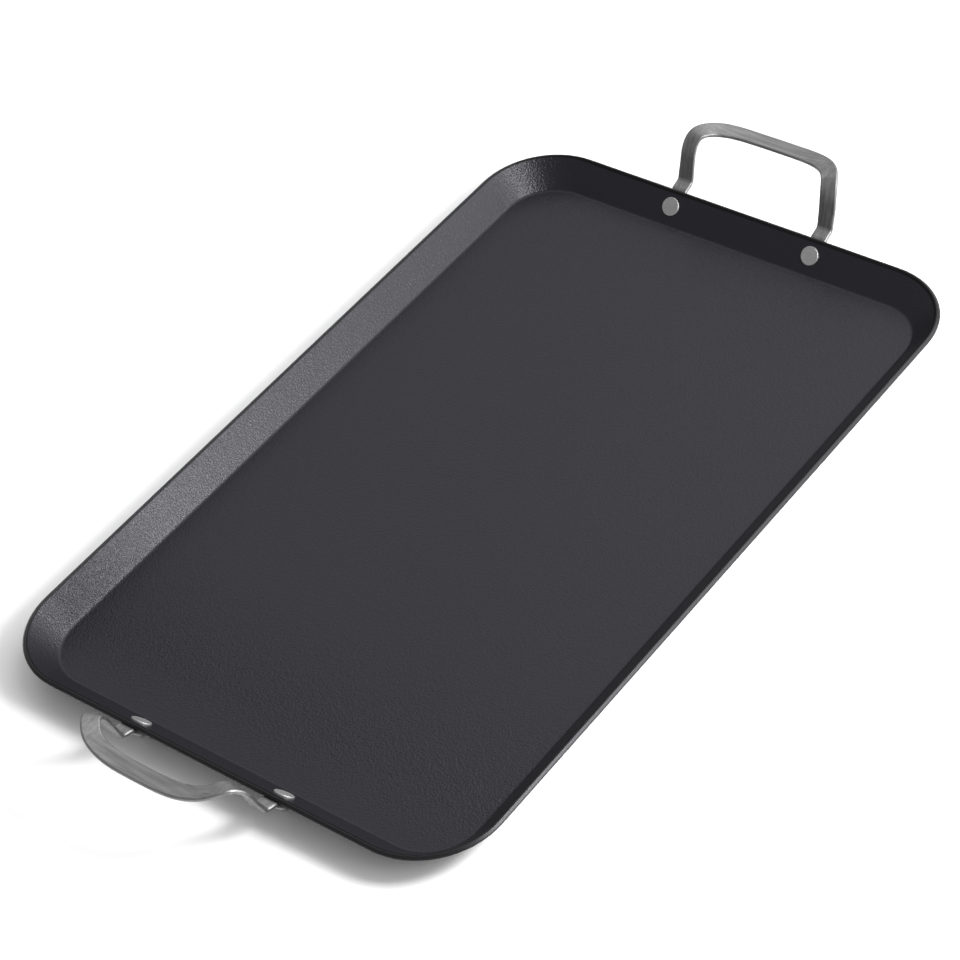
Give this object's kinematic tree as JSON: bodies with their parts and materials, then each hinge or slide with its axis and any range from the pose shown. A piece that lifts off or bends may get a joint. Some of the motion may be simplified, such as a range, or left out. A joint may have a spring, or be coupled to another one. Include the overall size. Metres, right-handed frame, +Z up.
{
  "type": "double-burner griddle pan",
  "caption": "Long shallow rectangular griddle pan with sloping low walls, a dark non-stick inside and a riveted steel strap loop handle at each end.",
  "frame": {"origin": "centre of the overall bounding box in X and Y, on the pan's flat underside", "axes": "+X along the long side towards the rear handle, +Y across the pan, +Z up out of the cooking surface"},
  "size_m": [0.592, 0.3246, 0.0509],
  "materials": {
    "anodised_aluminium": "hard-anodised, satin charcoal",
    "nonstick": "fine orange-peel non-stick, low sheen",
    "handle_steel": "satin stainless",
    "rivet_steel": "satin stainless"
  },
  "bodies": {
    "root": {"pan_body": "anodised_aluminium", "nonstick_coating": "nonstick", "handle_rear": "handle_steel", "handle_front": "handle_steel", "rivet_rear_left": "rivet_steel", "rivet_rear_right": "rivet_steel", "rivet_front_left": "rivet_steel", "rivet_front_right": "rivet_steel"}
  },
  "joints": []
}
